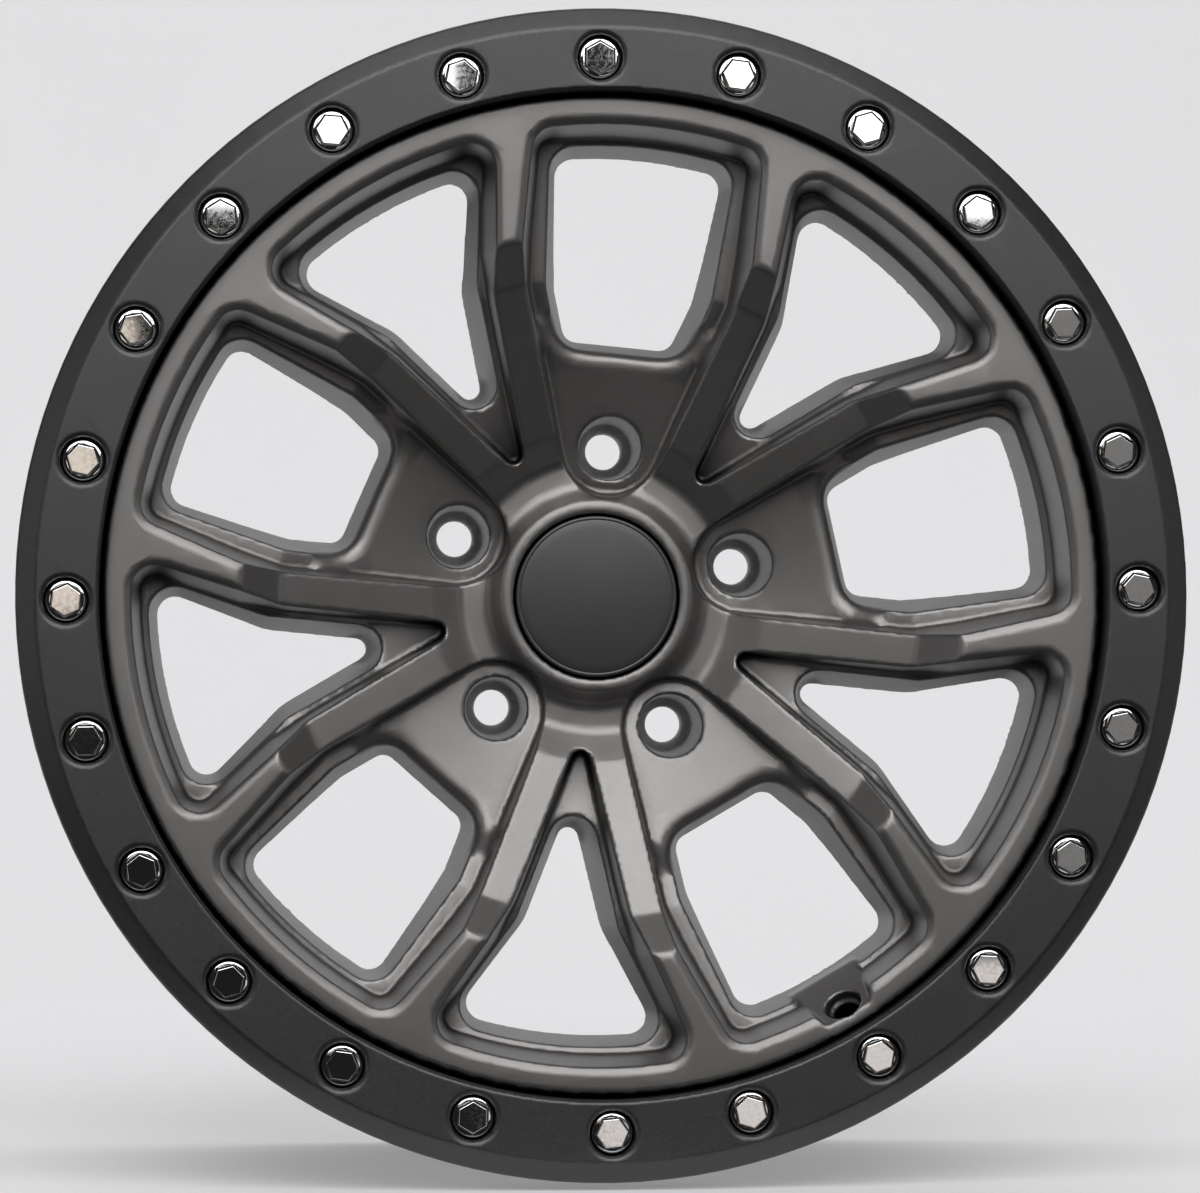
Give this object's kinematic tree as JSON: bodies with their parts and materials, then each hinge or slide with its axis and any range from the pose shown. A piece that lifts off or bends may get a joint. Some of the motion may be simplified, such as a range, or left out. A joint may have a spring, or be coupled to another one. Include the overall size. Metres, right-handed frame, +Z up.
{
  "type": "beadlock wheel",
  "caption": "Alloy off-road wheel with forked spokes, a bolted bead clamp ring, lug holes and a clip-in centre cap.",
  "frame": {"origin": "centre of the hub mounting pad, on the spin axis", "axes": "+Z up, +Y inboard along the spin axis, the face looks along -Y"},
  "size_m": [0.4949, 0.255, 0.495],
  "materials": {
    "casting": "satin bronze grey paint",
    "ring": "matte black powder coat",
    "bolts": "bright plated",
    "cap": "matte black"
  },
  "bodies": {
    "root": {"wheel_casting": "casting", "beadlock_ring": "ring", "ring_bolts": "bolts", "centre_cap": "cap"}
  },
  "joints": []
}
